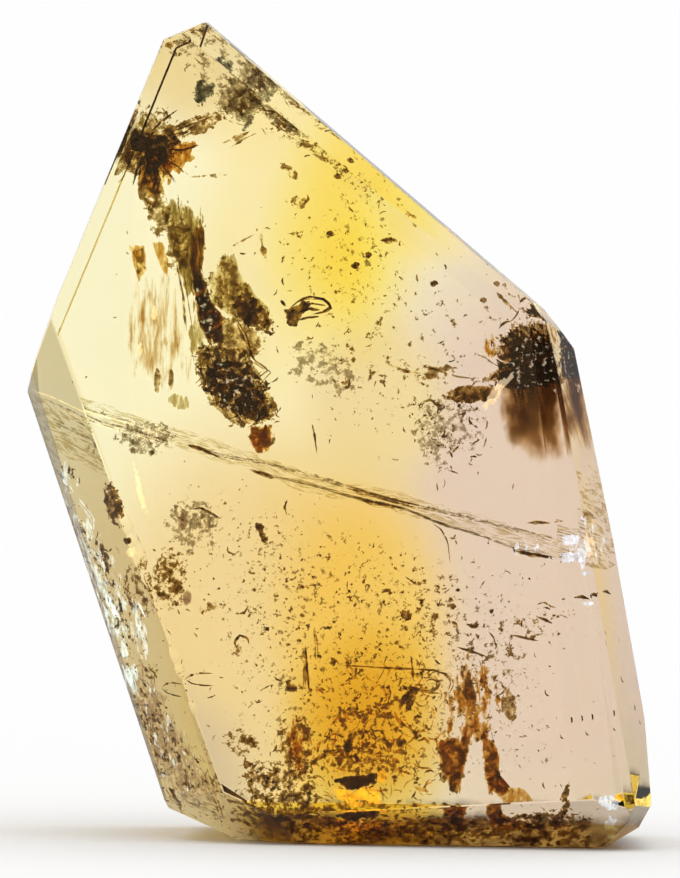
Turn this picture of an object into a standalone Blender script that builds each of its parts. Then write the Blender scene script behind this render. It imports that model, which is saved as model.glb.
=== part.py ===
"""A polished citrine point: one clear quartz crystal, ground flat on every side.

The crystal stands on its base with its broad front face towards -Y. It is a slab with a pointed
top that leans to the left: a block is cut down facet by facet, the way a lapidary grinds it,
its arrises are softened, and shell-shaped chips are broken out of the lower left arris.
"""
import math

import bmesh
import bpy
from mathutils import Matrix, Vector

MM = 0.001

# Driving dimensions, in millimetres.
HEIGHT = 60.0
LEFT = -23.2
RIGHT = 23.2
DEPTH = 25.0
BACK_TAPER = 4.0        # degrees: the back face leans forward towards the tip
BACK_EDGE = 2.3         # height of the back face's lower arris, where the crystal is deepest
ARRIS_WIDTH = 0.12      # flat left on each arris by polishing
FRONT = -DEPTH / 2
BACK = DEPTH / 2
FORWARD = Vector((0.0, -1.0, 0.0))
MERGE = 2e-6            # metres: corners closer than this are one
ON_PLANE = 1e-7         # metres: corners closer than this to a cut lie on it
MIDDLE = (0.0, 26.0)    # a point (x, z) well inside the outline

# Corners of the outline as seen from the front (x, z), clockwise from the tip.
TIP = (-10.5, HEIGHT)
SHOULDER = (14.5, 39.5)
ELBOW = (17.3, 36.1)
FLANK_TOP = (20.0, 22.5)
FLANK_FOOT = (22.3, 12.2)
HEEL = (RIGHT, 3.2)
HEEL_MIDDLE = (22.3, 1.5)
BASE_RIGHT = (19.9, 0.0)
BASE_LEFT = (-7.2, 0.0)
TOE = (-12.3, 2.2)
HIP = (LEFT, 32.8)
LEFT_SHOULDER = (-21.5, 38.3)
TIP_LEFT = (-13.6, 58.6)

# The side is ground in two passes that meet in a girdle line: (from, to, girdle y, lean of the
# front pass, lean of the back pass). The leans are how far each pass is turned from square to
# the front face, in degrees.
GIRDLE = [
    (TIP, SHOULDER, -10.0, 6.0, 3.0),
    (SHOULDER, ELBOW, -9.2, 8.0, 3.0),
    (ELBOW, FLANK_TOP, -7.6, 20.0, 3.0),
    (FLANK_TOP, FLANK_FOOT, -7.6, 20.0, 3.0),
    (FLANK_FOOT, HEEL, -7.6, 20.0, 3.0),
    (HEEL, HEEL_MIDDLE, -8.0, 20.0, 3.0),
    (HEEL_MIDDLE, BASE_RIGHT, -8.0, 20.0, 3.0),
    (BASE_LEFT, TOE, -6.0, 25.0, 5.0),
    (TOE, HIP, -7.0, 20.0, 4.0),
    (HIP, LEFT_SHOULDER, -10.0, 3.0, 3.0),
    (LEFT_SHOULDER, TIP_LEFT, -11.9, 5.0, 3.0),
    (TIP_LEFT, TIP, -11.9, 5.0, 3.0),
]

# Bevels around the front face: (line as seen from the front, depth of the line below the front
# face, lean from the front face in degrees).
FRONT_BEVELS = [
    ((-21.5, 38.3), (-10.0, 8.5), 0.0, 50.0),   # broad left bevel
    ((0.9, 48.8), (4.6, 45.9), 0.0, 38.0),      # long bevel under the upper right edge
    ((14.7, 38.4), (18.3, 29.7), 0.0, 45.0),    # corner facet
    ((14.5, 31.7), (18.8, 4.1), 0.0, 20.0),     # right bevel, inner strip
    ((16.2, 31.7), (20.9, 4.2), 0.7, 40.0),     # right bevel, middle strip
    ((18.4, 22.9), (21.9, 4.2), 1.7, 65.0),     # right bevel, outer strip
    ((-7.0, 2.0), (19.0, 3.7), 0.0, 48.0),      # bottom bevel
    ((-9.6, 3.9), (-5.4, 1.2), 0.0, 62.0),      # bottom left corner
    ((18.9, 1.2), (22.0, 4.7), 0.0, 52.0),      # bottom right corner
]

# Bevels around the back face: (line as seen from the front, lean from the back face).
BACK_BEVELS = [
    ((-15.7, 50.0), (-15.7, 28.0), 20.0),     # upper left, its inner arris upright
    ((-15.4, 29.0), (-9.0, 6.0), 24.0),       # lower left
    ((-4.0, 51.0), (12.0, 37.9), 24.0),       # upper right
    ((13.4, 36.0), (17.6, 3.0), 26.0),        # right
    ((-8.0, BACK_EDGE), (20.0, BACK_EDGE), 50.0),   # bottom
    ((-11.6, 5.6), (-6.6, 2.4), 58.0),        # bottom left corner
    ((17.4, 2.4), (21.0, 6.2), 56.0),         # bottom right corner
]

# Shell-shaped chips on the arris between the front face and the broad left bevel:
# (height of the middle, radius of the break, depth).
CHIPS = [
    (24.1, 1.5, 0.16),
    (23.2, 2.6, 0.30),
    (21.9, 1.4, 0.34),
    (20.9, 3.0, 0.36),
    (19.3, 1.3, 0.26),
    (18.6, 1.0, 0.16),
    (13.6, 2.2, 0.20),
    (12.6, 1.2, 0.24),
    (9.9, 1.6, 0.18),
]
RIPPLE_LENGTH = 0.5     # from crest to crest of the waves in a chip
RIPPLE_HEIGHT = 0.008
RIPPLE_START = 35.0     # degrees from the bottom of a chip to where its waves start
CUTTER_DETAIL = 5       # subdivisions of the ball that cuts a chip

# Finish: polished, clear, warm yellow.
CITRINE_COLOUR = (0.92, 0.76, 0.36, 1.0)
CITRINE_IOR = 1.544
CITRINE_ROUGHNESS = 0.03


def clear_scene():
    """Remove every object that is already in the scene."""
    for thing in list(bpy.data.objects):
        bpy.data.objects.remove(thing, do_unlink=True)


def outward(start, end):
    """Direction square to the line start-end in the front view, away from the middle."""
    along = Vector((end[0] - start[0], 0.0, end[1] - start[1])).normalized()
    square = Vector((along.z, 0.0, -along.x))
    away = Vector((start[0] - MIDDLE[0], 0.0, start[1] - MIDDLE[1]))
    return square if square.dot(away) > 0.0 else -square


def side_facet(start, end, y, lean):
    """Plane square to the front face through the line start-end, then leant about that line: a
    lean above 0 degrees faces it forward, one below 0 faces it back."""
    angle = math.radians(lean)
    normal = outward(start, end) * math.cos(angle) + FORWARD * math.sin(angle)
    return Vector((start[0], y, start[1])) * MM, normal


def bevel_facet(start, end, face, lean):
    """Plane through the line start-end as seen on a face, leaning away from it. The face is a
    point and a normal."""
    point, face_normal = face
    ends = []
    for x, z in (start, end):
        offset = Vector((x * MM, 0.0, z * MM)) - point
        y = point.y - (offset.x * face_normal.x + offset.z * face_normal.z) / face_normal.y
        ends.append(Vector((x * MM, y, z * MM)))
    along = (ends[1] - ends[0]).normalized()
    away = along.cross(face_normal)
    if away.dot(outward(start, end)) < 0.0:
        away = -away
    angle = math.radians(lean)
    return ends[0], away * math.sin(angle) + face_normal * math.cos(angle)


def front_face():
    """The broad front face: a point and its normal."""
    return Vector((0.0, FRONT * MM, 0.0)), FORWARD


def back_face():
    """The back face, which leans forward towards the tip."""
    taper = math.radians(BACK_TAPER)
    return Vector((0.0, BACK, BACK_EDGE)) * MM, Vector((0.0, math.cos(taper), math.sin(taper)))


def all_facets():
    """Every grinding plane of the crystal: the faces, the girdle, then the bevels."""
    planes = [front_face(), back_face(), (Vector((0.0, 0.0, 0.0)), Vector((0.0, 0.0, -1.0)))]
    for start, end, y, front_lean, back_lean in GIRDLE:
        planes.append(side_facet(start, end, y, front_lean))
        planes.append(side_facet(start, end, y, -back_lean))
    for start, end, depth, lean in FRONT_BEVELS:
        point, normal = front_face()
        planes.append(bevel_facet(start, end, (point - normal * depth * MM, normal), lean))
    for start, end, lean in BACK_BEVELS:
        planes.append(bevel_facet(start, end, back_face(), lean))
    return planes


def grind(mesh, point, normal):
    """Cut away what lies outside a plane and close the cut with a flat face."""
    everything = mesh.verts[:] + mesh.edges[:] + mesh.faces[:]
    cut = bmesh.ops.bisect_plane(mesh, geom=everything, dist=ON_PLANE, plane_co=point, plane_no=normal,
                                 clear_outer=True)
    rim = [item for item in cut["geom_cut"] if isinstance(item, bmesh.types.BMEdge)]
    if rim:
        bmesh.ops.edgeloop_fill(mesh, edges=rim)


def soften_arrises(mesh):
    """Grind a narrow flat on every arris, square to the bisector of its two faces."""
    flats = []
    for edge in mesh.edges:
        one, other = (face.normal for face in edge.link_faces)
        half_angle = one.angle(other) / 2
        drop = ARRIS_WIDTH * MM / 2 * math.tan(half_angle)
        normal = (one + other).normalized()
        flats.append((edge.verts[0].co - normal * drop, normal))
    for point, normal in flats:
        grind(mesh, point, normal)


def make_block():
    """The crystal's bmesh: a rough block cut down by every facet, with softened arrises."""
    mesh = bmesh.new()
    bmesh.ops.create_cube(mesh, size=2 * HEIGHT * MM, matrix=Matrix.Translation((0, 0, HEIGHT * MM / 2)))
    for point, normal in all_facets():
        grind(mesh, point, normal)
    mesh.normal_update()
    soften_arrises(mesh)
    bmesh.ops.remove_doubles(mesh, verts=mesh.verts[:], dist=MERGE)
    bmesh.ops.recalc_face_normals(mesh, faces=mesh.faces[:])
    return mesh


def citrine():
    """Clear yellow quartz."""
    material = bpy.data.materials.new("citrine")
    material.use_nodes = True
    shader = material.node_tree.nodes["Principled BSDF"]
    shader.inputs["Base Color"].default_value = CITRINE_COLOUR
    shader.inputs["Roughness"].default_value = CITRINE_ROUGHNESS
    shader.inputs["Metallic"].default_value = 0.0
    shader.inputs["IOR"].default_value = CITRINE_IOR
    shader.inputs["Transmission Weight"].default_value = 1.0
    return material


def add_object(name, mesh):
    """Link a bmesh into the scene as a named object."""
    data = bpy.data.meshes.new(name)
    mesh.to_mesh(data)
    mesh.free()
    thing = bpy.data.objects.new(name, data)
    bpy.context.scene.collection.objects.link(thing)
    return thing


def chip_surface(radius):
    """Ball with its lowest point at -Z, rippled in waves that spread from one end of the chip."""
    mesh = bmesh.new()
    bmesh.ops.create_icosphere(mesh, subdivisions=CUTTER_DETAIL, radius=radius * MM)
    start = math.radians(RIPPLE_START)
    struck = Vector((math.sin(start), 0.0, -math.cos(start)))
    for vertex in mesh.verts:
        from_start = vertex.co.angle(struck) * radius
        wave = math.cos(2 * math.pi * from_start / RIPPLE_LENGTH)
        vertex.co += vertex.co.normalized() * wave * RIPPLE_HEIGHT * MM
    return mesh


def add_chip(crystal, number, chip):
    """Break one shell-shaped chip out of the left arris with a hidden ball-shaped cutter."""
    height, radius, depth = chip
    start, end, _, lean = FRONT_BEVELS[0]
    bevel_normal = bevel_facet(start, end, front_face(), lean)[1]
    middle = (bevel_normal + FORWARD).normalized()
    x = start[0] + (end[0] - start[0]) * (start[1] - height) / (start[1] - end[1])
    arris = Vector((x, FRONT, height)) * MM
    mesh = chip_surface(radius)
    turn = Vector((0.0, 0.0, 1.0)).rotation_difference(middle).to_matrix().to_4x4()
    place = Matrix.Translation(arris + middle * (radius - depth) * MM)
    bmesh.ops.transform(mesh, verts=mesh.verts[:], matrix=place @ turn)
    cutter = add_object(f"chip_cutter_{number}", mesh)
    cutter.hide_render = True
    cutter.display_type = "WIRE"
    cut = crystal.modifiers.new(f"chip {number}", "BOOLEAN")
    cut.operation = "DIFFERENCE"
    cut.solver = "EXACT"
    cut.object = cutter


def make_crystal():
    """The whole crystal, one solid."""
    crystal = add_object("crystal_point", make_block())
    crystal.data.materials.append(citrine())
    for number, chip in enumerate(CHIPS, start=1):
        add_chip(crystal, number, chip)


clear_scene()
make_crystal()
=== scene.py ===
"""A polished citrine point, standing on a pale studio floor."""
import math

import bpy
import numpy as np
from mathutils import Matrix, Vector


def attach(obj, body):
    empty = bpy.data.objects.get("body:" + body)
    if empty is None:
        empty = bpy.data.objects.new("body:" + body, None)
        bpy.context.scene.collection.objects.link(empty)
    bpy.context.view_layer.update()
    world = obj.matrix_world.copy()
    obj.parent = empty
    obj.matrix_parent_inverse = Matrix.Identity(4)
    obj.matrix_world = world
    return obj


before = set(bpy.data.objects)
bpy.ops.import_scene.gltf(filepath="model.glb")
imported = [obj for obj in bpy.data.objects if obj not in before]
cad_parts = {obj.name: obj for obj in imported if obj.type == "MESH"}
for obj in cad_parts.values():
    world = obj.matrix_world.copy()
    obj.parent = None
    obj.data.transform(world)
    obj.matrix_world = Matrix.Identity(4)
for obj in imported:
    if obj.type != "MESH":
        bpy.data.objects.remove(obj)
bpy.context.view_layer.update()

scene = bpy.context.scene
MM = 0.001

# -------- the camera
# A long lens looks square at the broad front face, from barely above it. The camera rolls by a
# degree, so that the crystal leans clockwise in the view.
LENS, SENSOR = 800.0, 36.0
VIEW_HEIGHT = 64.64 * MM    # what the height of the view takes in, at the crystal
AIM = Vector((-0.14, 0.0, 29.27)) * MM
LOOK_DOWN = math.radians(2.0)
ROLL = math.radians(1.1)


def add_object(name, data):
    """An object of the scene, from its data."""
    made = bpy.data.objects.new(name, data)
    scene.collection.objects.link(made)
    return made


def add_camera():
    """Stand back until VIEW_HEIGHT fills the sensor's long side."""
    data = bpy.data.cameras.new("camera")
    data.lens, data.sensor_width = LENS, SENSOR
    data.clip_start, data.clip_end = 0.05, 100.0
    camera = add_object("camera", data)
    back = Vector((0.0, -math.cos(LOOK_DOWN), math.sin(LOOK_DOWN)))
    turn = Matrix.Rotation(math.radians(90.0) - LOOK_DOWN, 4, "X") @ Matrix.Rotation(ROLL, 4, "Z")
    camera.matrix_world = Matrix.Translation(AIM + back * VIEW_HEIGHT * LENS / SENSOR) @ turn
    scene.camera = camera


add_camera()


# -------- the studio
# Soft white light from all round, brightest straight behind and in front of the crystal and
# overhead, so that the bevels, which look to the side, show darker than the faces.
def operator(operation, reflected=False):
    """A method of Wire that adds the Math node of an operator, or of its reflected form."""
    def method(wire, other):
        sides = (other, wire) if reflected else (wire, other)
        return wire.graph.node("Math", {"operation": operation}, dict(enumerate(sides)))
    return method


class Wire:
    """A shader socket in a Python expression: each operator adds the Math node that it names."""

    def __init__(self, graph, socket):
        self.graph, self.socket = graph, socket

    __add__, __radd__ = operator("ADD"), operator("ADD", True)
    __sub__, __rsub__ = operator("SUBTRACT"), operator("SUBTRACT", True)
    __mul__, __rmul__ = operator("MULTIPLY"), operator("MULTIPLY", True)
    __truediv__, __rtruediv__ = operator("DIVIDE"), operator("DIVIDE", True)
    __pow__, __rpow__ = operator("POWER"), operator("POWER", True)

    def __abs__(self):
        return self.graph.node("Math", {"operation": "ABSOLUTE"}, {0: self})


class Graph:
    """A node tree. node() adds any node: settings are set first, then inputs are fed."""

    def __init__(self, tree):
        self.tree = tree

    def feed(self, node, inputs):
        """Link a node's sockets to wires, or set them to plain values."""
        for key, value in inputs.items():
            if isinstance(value, Wire):
                self.tree.links.new(value.socket, node.inputs[key])
            else:
                node.inputs[key].default_value = value

    def node(self, kind, settings=(), inputs=(), output=0):
        """Add a node and return the wire of one of its outputs."""
        made = self.tree.nodes.new("ShaderNode" + kind)
        for key, value in dict(settings).items():
            setattr(made, key, value)
        self.feed(made, dict(inputs))
        return Wire(self, made.outputs[output])

    def part(self, vector, axis):
        """One coordinate of a vector."""
        return self.node("SeparateXYZ", {}, {0: vector}, "XYZ".index(axis))

    def own_place(self):
        """The object's own coordinates."""
        return self.node("TexCoord", output=3)

    def step(self, value, low, high, out_low=0.0, out_high=1.0):
        """Smooth step from out_low at low to out_high at high."""
        inputs = {0: value, 1: low, 2: high, 3: out_low, 4: out_high}
        return self.node("MapRange", {"interpolation_type": "SMOOTHSTEP"}, inputs)

    def blend(self, share, one, other):
        """Mix of two colours."""
        colours = [c if isinstance(c, Wire) else (*c, 1.0) for c in (one, other)]
        return self.node("Mix", {"data_type": "RGBA"}, {0: share, 6: colours[0], 7: colours[1]}, 2)

    def noise(self, scale, detail=3.0, upright=1.0, roughness=0.5):
        """Noise in waves per metre on the object's own coordinates; upright times fewer along Z."""
        scaled = {"Vector": self.own_place(), "Scale": (1.0, 1.0, upright)}
        inputs = {"Vector": self.node("Mapping", {}, scaled), "Scale": scale, "Detail": detail,
                  "Roughness": roughness}
        return self.node("TexNoise", {}, inputs)


SIDE_LIGHT, FACE_LIGHT, TOP_LIGHT = 0.36, 1.05, 1.30
FACE_LOBE, TOP_LOBE = (0.74, 1.0), (0.5, 0.9)    # the cosines where a lobe starts and is full
FLOOR_RADIUS, FLOOR_DROP, FLOOR_SIDES = 20.0, 0.1 * MM, 96
FLOOR_WHITE = (0.94, 0.94, 0.94, 1.0)


def add_light():
    """World brightness = a lobe round +Y and -Y, and a lobe overhead."""
    world = bpy.data.worlds.new("studio")
    world.use_nodes = True
    scene.world = world
    graph = Graph(world.node_tree)
    towards = graph.node("TexCoord")
    light = graph.step(abs(graph.part(towards, "Y")), *FACE_LOBE, SIDE_LIGHT, FACE_LIGHT)
    light = light + graph.step(graph.part(towards, "Z"), *TOP_LOBE, 0.0, TOP_LIGHT)
    graph.feed(world.node_tree.nodes["Background"], {"Color": light})


def add_floor():
    """A wide pale floor, a hair below the base."""
    data = bpy.data.meshes.new("floor")
    angles = np.linspace(0.0, 2 * np.pi, FLOOR_SIDES, endpoint=False)
    rim = np.stack([FLOOR_RADIUS * np.cos(angles), FLOOR_RADIUS * np.sin(angles),
                    np.full(FLOOR_SIDES, -FLOOR_DROP)], axis=1)
    data.from_pydata(rim.tolist(), [], [list(range(FLOOR_SIDES))])
    matt = bpy.data.materials.new("matt white floor")
    matt.use_nodes = True
    paint = {"Base Color": FLOOR_WHITE, "Roughness": 0.9, "Specular IOR Level": 0.0}
    Graph(matt.node_tree).feed(matt.node_tree.nodes["Principled BSDF"], paint)
    data.materials.append(matt)
    add_object("floor", data)


add_light()
add_floor()
scene.view_settings.view_transform = "Standard"
scene.cycles.max_bounces = 24
scene.cycles.diffuse_bounces = 1
scene.cycles.transmission_bounces = 20
scene.cycles.transparent_max_bounces = 48

# -------- the clear crystal
# Quartz coloured pale yellow through and through: it takes blue out of the light that crosses
# it. Zones of the growing crystal are warmer, rosier or stained by the rusty base. The broad left
# bevel and the strips along the left rim and the foot are darkened in the colour: painted shade.
# The faces are polished; a faint ripple of the lap is left.
QUARTZ_IOR = 1.544
BODY_COLOUR, BODY_DENSITY = (0.986, 0.872, 0.163), 30.0
REFLECTION_TINT = (0.6, 0.42, 0.22, 1.0)
RIPPLE_HEIGHT, RIPPLE_SCALE = 0.002 * MM, 900.0
ROSY, WARM, GOLDEN = (0.79, 0.66, 0.83), (0.90, 0.73, 0.54), (0.92, 0.66, 0.26)
# The middle colour of the next three is painted shade, for the broad left bevel.
HONEY, PAINTED_BEVEL_SHADE, MAUVE = (0.87, 0.73, 0.52), (0.95, 0.80, 0.58), (0.70, 0.59, 0.58)
RUST_BLACK, RUST_BROWN = (0.022, 0.004, 0.0003), (0.28, 0.12, 0.014)
STAIN_RISE, STAIN_START = (4.0, 2.9), (-10.0, -5.0)    # heights and places where it fades in
# Painted shade: the dark colour laid on the strips along the left rim and the foot.
PAINTED_RIM_SHADE = (0.22, 0.17, 0.13)
ZONES = [   # x, z, half width and half height in the front view, colour
    (15.2, 22.1, 20.5, 34.5, ROSY), (-5.1, 15.7, 17, 21, WARM), (2, 14.4, 8, 15, GOLDEN),
    (-10.7, 58.7, 8.5, 9.5, HONEY), (-2.1, 51.5, 9.5, 7.5, (0.98, 0.84, 0.55)),
    (-4.8, 41.8, 9, 14, (0.97, 0.89, 0.70)), (2.4, 32.2, 7, 8, (0.89, 0.76, 0.60)),
    (6.2, 45.3, 5, 4, (0.97, 0.86, 0.66)), (-13, 4.1, 9, 9, MAUVE),
]
LEFT_ARRIS = [(-19.9, 34), (-15, 20.9)]
LEFT_RIM = [(-23.2, 33), (-12.3, 2.2)]
FOOT_RIM = [(-12.3, 2.1), (-7, -0.5)]


class Place:
    """The object's own coordinates in millimetres, with soft masks of the front view."""

    def __init__(self, graph):
        self.graph = graph
        self.x, self.z = (graph.part(graph.own_place(), axis) * (1 / MM) for axis in "XZ")

    def spot(self, x, z, wide, tall):
        """1 well inside an oval, 0 outside it."""
        across, up = (self.x - x) / wide, (self.z - z) / tall
        return self.graph.step((across * across + up * up) ** 0.5, 0.4, 1.0, 1.0, 0.0)

    def beside(self, line, width):
        """1 to the left of a line that is followed downwards, falling to 0 over width."""
        (x0, z0), (x1, z1) = line
        length = math.hypot(x1 - x0, z1 - z0)
        away = (self.x - x0) * ((z0 - z1) / length) + (self.z - z0) * ((x1 - x0) / length)
        return self.graph.step(away, -width / 2, width / 2, 1.0, 0.0)


def zoned_colour(graph):
    """Tint of the light that enters or leaves at a place of the surface."""
    place = Place(graph)
    colour = (1.0, 1.0, 1.0)
    for *zone, tint in ZONES:
        colour = graph.blend(place.spot(*zone), colour, tint)
    # Painted shade: the broad left bevel, which looks to the side, is tinted darker and browner.
    colour = graph.blend(place.beside(LEFT_ARRIS, 0.15), colour, PAINTED_BEVEL_SHADE)
    grain = graph.noise(340.0)
    rust = graph.blend(graph.step(grain, 0.35, 0.68), RUST_BLACK, RUST_BROWN)
    stained = graph.step(place.z + grain * 2.4, *STAIN_RISE) * graph.step(place.x, *STAIN_START)
    colour = graph.blend(stained, colour, rust)
    # Painted shade: the strips along the left rim and the foot are darkened.
    for line, width in ((LEFT_RIM, 0.5), (FOOT_RIM, 0.9)):
        colour = graph.blend(place.beside(line, width), colour, PAINTED_RIM_SHADE)
    return colour


def glass(name, index):
    """A smooth material that light passes through, with its graph and its shader."""
    material = bpy.data.materials.new(name)
    material.use_nodes = True
    graph, shader = Graph(material.node_tree), material.node_tree.nodes["Principled BSDF"]
    graph.feed(shader, {"Roughness": 0.0, "IOR": index, "Transmission Weight": 1.0})
    return material, graph, shader


def absorb(graph, colour, density):
    """Take colour out of the light on its way through the body."""
    volume = graph.node("VolumeAbsorption", {}, {"Color": (*colour, 1.0), "Density": density})
    graph.feed(graph.tree.nodes["Material Output"], {"Volume": volume})


def clear_citrine():
    """Glass of quartz's index, pale yellow all through, with the zones on its rippled faces."""
    material, graph, shader = glass("clear citrine", QUARTZ_IOR)
    ripple = {"Strength": 1.0, "Distance": RIPPLE_HEIGHT, "Height": graph.noise(RIPPLE_SCALE, 0.0)}
    graph.feed(shader, {"Base Color": zoned_colour(graph), "Specular Tint": REFLECTION_TINT,
                        "Normal": graph.node("Bump", {}, ripple)})
    absorb(graph, BODY_COLOUR, BODY_DENSITY)
    return material


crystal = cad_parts["crystal_point"]
crystal.data.materials.clear()
crystal.data.materials.append(clear_citrine())


# -------- gold clouds
# Deeper gold where more iron gathered while the crystal grew. Each cloud is a smooth closed body
# with a soft rim, inside the quartz; it takes light out and bends none.
def add_piece(name, shape, material):
    """A mesh object from whole arrays, riding on the crystal: shape is points in millimetres,
    faces, and a tone for each point."""
    points, faces, tones = shape
    data = bpy.data.meshes.new(name)
    data.from_pydata((points * MM).tolist(), [], faces)
    data.attributes.new("tone", "FLOAT", "POINT").data.foreach_set("value", tones)
    data.shade_smooth()
    data.materials.append(material)
    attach(add_object(name, data), "root")


LARGE_FACE = 0.4 * MM * MM    # area; chips and arrises are smaller


def face_values(name, width):
    """One value, or a vector, for each face of the crystal."""
    values = np.zeros(width * len(crystal.data.polygons))
    crystal.data.polygons.foreach_get(name, values)
    return values.reshape(-1, width)


def face_planes():
    """The crystal is convex: the planes of its larger faces, as normals and distances in mm."""
    large = face_values("area", 1)[:, 0] > LARGE_FACE
    normals, middles = face_values("normal", 3)[large], face_values("center", 3)[large] / MM
    return normals, (normals * middles).sum(axis=1)


NORMALS, DISTANCES = face_planes()


def skin(x, z):
    """The y of the front and of the back surface over places (x, z) of the front view."""
    room = DISTANCES - np.multiply.outer(x, NORMALS[:, 0]) - np.multiply.outer(z, NORMALS[:, 2])
    front, back = NORMALS[:, 1] < -0.02, NORMALS[:, 1] > 0.02    # the rest look sideways
    return ((room[..., front] / NORMALS[front, 1]).max(axis=-1),
            (room[..., back] / NORMALS[back, 1]).min(axis=-1))


def draw_in(points, middle, margin=0.15):
    """Points moved straight towards a middle until they are inside the crystal by a margin."""
    away = (points - middle) @ NORMALS.T
    room = DISTANCES - margin - NORMALS @ np.asarray(middle)
    share = np.where(away > 1e-9, room / np.maximum(away, 1e-9), 1.0).min(axis=1)
    return middle + (points - middle) * np.clip(share, 0.0, 1.0)[:, None]


def ball_faces(around, down):
    """Quads of a grid that closes round, and triangles to the two poles, facing outwards."""
    ring = np.arange(around)
    following = (ring + 1) % around
    rows = np.arange(down - 1)[:, None] * around
    quads = np.stack([ring + rows, ring + rows + around, following + rows + around, following + rows],
                     axis=-1).reshape(-1, 4)
    top, last = around * down, around * (down - 1)
    first = np.stack([np.full(around, top), ring, following], axis=1)
    final = np.stack([np.full(around, top + 1), last + following, last + ring], axis=1)
    return quads.tolist() + first.tolist() + final.tolist()


def both_sides(rings):
    """For each ring of a closed lens, r out to the rim and back, and 1 in front or -1 behind."""
    r = np.arange(1, rings + 1) / rings
    return np.r_[r, r[-2::-1]], np.r_[np.ones(rings), -np.ones(rings - 1)]


def cloud(middle, reach, thick, seed, around=48, rings=12):
    """Closed lens that faces the front. u goes round and r goes out: x and z reach r times the
    reach, stretched by slow waves in u; half the thickness is thick x (1 - r squared) squared,
    so the rim is soft."""
    rng = np.random.default_rng(seed)
    u = 2 * np.pi * np.arange(around) / around
    wave = 1.0 + sum(0.12 / k * np.cos(k * u + rng.uniform(0, 6.28)) for k in (2, 3, 4))
    r, side = (values[:, None] for values in both_sides(rings))
    lens = np.stack([r * wave * np.cos(u) * reach[0], -side * thick * (1 - r * r) ** 2 * np.ones(around),
                     r * wave * np.sin(u) * reach[1]], axis=-1)
    points = np.concatenate([lens.reshape(-1, 3), [[0, -thick, 0], [0, thick, 0]]]) + middle
    points = draw_in(points, middle)
    return points, ball_faces(around, 2 * rings - 1), np.zeros(len(points))


CLOUDS = [   # name, middle, reach in x and z, half thickness, colour, density
    ("gold_cloud_upper", (-0.2, 1, 44.4), (6.8, 12.5), 7.5, (1, 0.9, 0.05), 95),
    ("gold_cloud_upper_heart", (0.4, -2.5, 42.2), (3.2, 5.6), 4, (1, 0.9, 0.05), 70),
    ("gold_cloud_middle", (-1, 2, 20), (7.5, 13.5), 6.5, (1, 0.84, 0.1), 38),
    ("gold_cloud_lower", (2.2, 0.5, 8.2), (8, 9.2), 8, (0.93, 0.79, 0.02), 175),
]

for seed, (name, middle, reach, thick, colour, density) in enumerate(CLOUDS, 3):
    material, graph, shader = glass(name.replace("_", " "), 1.0)
    graph.feed(shader, {"Base Color": (1.0, 1.0, 1.0, 1.0)})
    absorb(graph, colour, density)
    add_piece(name, cloud(middle, reach, thick, seed), material)


# -------- star near the tip
# A ragged tuft of iron-oxide films and needles, caught in the crystal while it grew. Thin places
# glow amber, and layers on top of each other go black.
def below(x, z, depth, margin=0.25):
    """The y at a depth under the front surface, kept off both surfaces by the margin."""
    front, back = skin(x, z)
    return np.clip(front + depth, front + margin, np.maximum(front + margin, back - margin))


def many(points, each, one, tones, margin=0.08):
    """A shape from equal pieces of `each` points: drops those that leave the crystal or come
    within the margin of its faces, and repeats the faces of one."""
    outwards = (points @ NORMALS.T - DISTANCES).max(axis=1)
    kept = outwards.reshape(-1, each).max(axis=1) < -margin
    points = points.reshape(-1, each, 3)[kept].reshape(-1, 3)
    faces = [[corner + k * each for corner in face] for k in range(int(kept.sum())) for face in one]
    return points, faces, np.repeat(tones[kept], each)


def join(shapes):
    """One shape from several."""
    points, faces, tones = [np.zeros((0, 3))], [], [np.zeros(0)]
    start = 0
    for more_points, more_faces, more_tones in shapes:
        points.append(more_points)
        faces += [[corner + start for corner in face] for face in more_faces]
        tones.append(more_tones)
        start += len(more_points)
    return np.concatenate(points), faces, np.concatenate(tones)


def unit(vectors, guard=0.0):
    """The vectors at length 1; guard is for those that may have no length."""
    return vectors / (np.linalg.norm(vectors, axis=-1, keepdims=True) + guard)


def flakes(middle, size, along, facing, rng, corners=7, ragged=0.35, bend=0.25, tone=(0.7, 1.0)):
    """Thin closed flakes, one for each row of middle. A flake is a ball squashed to size =
    (half length, half width, half thickness) along three square axes; its radius is 1 + half
    of ragged x three waves round the rim, and it is bent by bend x (place along it) squared."""
    count = len(middle)
    angle = np.linspace(0.0, 2 * np.pi, corners, endpoint=False)[None, :]
    rim = np.ones((count, corners))
    for waves in (2, 3, 4):
        rim += 0.5 * ragged * np.cos(waves * angle + rng.uniform(0, 6.28, (count, 1)))
    rings = [np.stack([rim * share * np.cos(angle), rim * share * np.sin(angle), np.full_like(rim, lift)],
                      axis=-1) for share, lift in ((0.6, 0.8), (1, 0), (0.6, -0.8))]
    poles = np.tile([[[0.0, 0.0, 1.0], [0.0, 0.0, -1.0]]], (count, 1, 1))
    local = np.concatenate(rings + [poles], axis=1)
    local[..., 2] += bend * (size[:, :1] / size[:, 2:]) * local[..., 0] ** 2
    local *= size[:, None, :]
    along = unit(along)
    across = unit(np.cross(facing, along))
    axes = np.stack([along, across, np.cross(along, across)], axis=1)
    points = np.einsum("nij,njk->nik", local, axes) + middle[:, None, :]
    tones = rng.uniform(*tone, count)
    return many(points.reshape(-1, 3), 3 * corners + 2, ball_faces(corners, 3), tones)


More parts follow.
